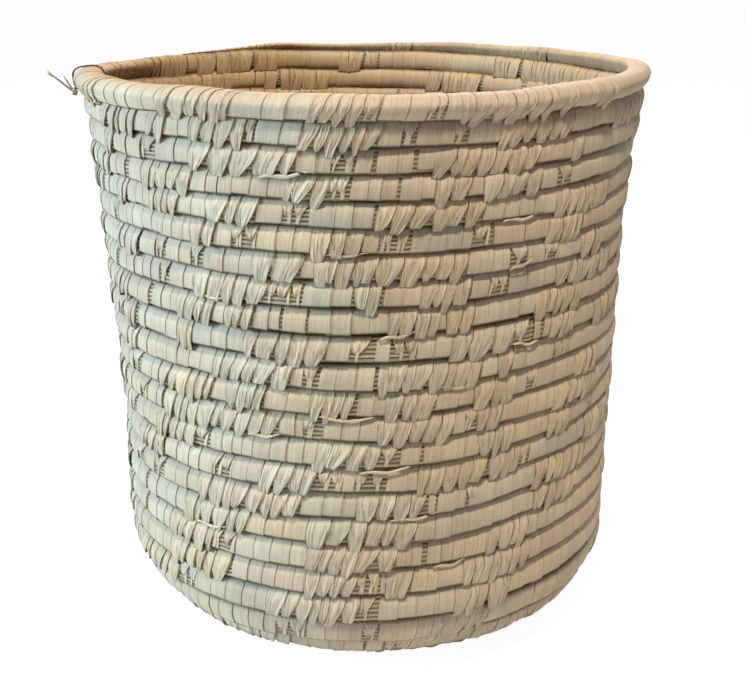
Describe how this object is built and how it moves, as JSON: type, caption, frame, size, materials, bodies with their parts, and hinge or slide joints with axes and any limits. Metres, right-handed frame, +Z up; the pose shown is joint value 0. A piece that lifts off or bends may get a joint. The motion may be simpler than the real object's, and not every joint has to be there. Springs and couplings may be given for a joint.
{
  "type": "coiled storage basket",
  "caption": "Open round storage basket: a leaf-bound coil of stalks wound into a flat base and a gently flared wall, with a thicker rim and a string tie.",
  "frame": {"origin": "middle of the base, on the surface that the basket stands on", "axes": "+Z up through the mouth; -X towards the string tie at the rim; -Y towards the side that the picture shows"},
  "size_m": [0.4466, 0.4249, 0.4212],
  "materials": {
    "leaf_binding": "dry flat leaf strips, matte to slightly satin, mixed straw, tan and grey-green",
    "rim_leaf": "dry leaf strips wound closely round the rim",
    "base_leaf": "dry leaf strips, duller and a little rubbed",
    "stalks": "dark brown bundle of thin stalks",
    "tie_string": "dark twisted plant string"
  },
  "bodies": {
    "root": {"start_knot": "base_leaf", "stalk_core_base": "stalks", "stalk_core_wall": "stalks", "base_binding_1": "base_leaf", "base_binding_2": "base_leaf", "base_binding_3": "base_leaf", "base_binding_4": "base_leaf", "base_binding_5": "base_leaf", "base_binding_6": "base_leaf", "wall_binding_01": "leaf_binding", "wall_binding_02": "leaf_binding", "wall_binding_03": "leaf_binding", "wall_binding_04": "leaf_binding", "wall_binding_05": "leaf_binding", "wall_binding_06": "leaf_binding", "wall_binding_07": "leaf_binding", "wall_binding_08": "leaf_binding", "wall_binding_09": "leaf_binding", "wall_binding_10": "leaf_binding", "wall_binding_11": "leaf_binding", "wall_binding_12": "leaf_binding", "wall_binding_13": "leaf_binding", "wall_binding_14": "leaf_binding", "wall_binding_15": "leaf_binding", "wall_binding_16": "leaf_binding", "wall_binding_17": "leaf_binding", "wall_binding_18": "leaf_binding", "wall_binding_19": "leaf_binding", "wall_binding_20": "leaf_binding", "wall_binding_21": "leaf_binding", "wall_binding_22": "leaf_binding", "wall_binding_23": "leaf_binding", "rim_binding": "rim_leaf", "rim_tie_loop": "tie_string", "rim_tie_knot": "tie_string", "rim_tie_long_tail": "tie_string", "rim_tie_short_tail": "tie_string"}
  },
  "joints": []
}
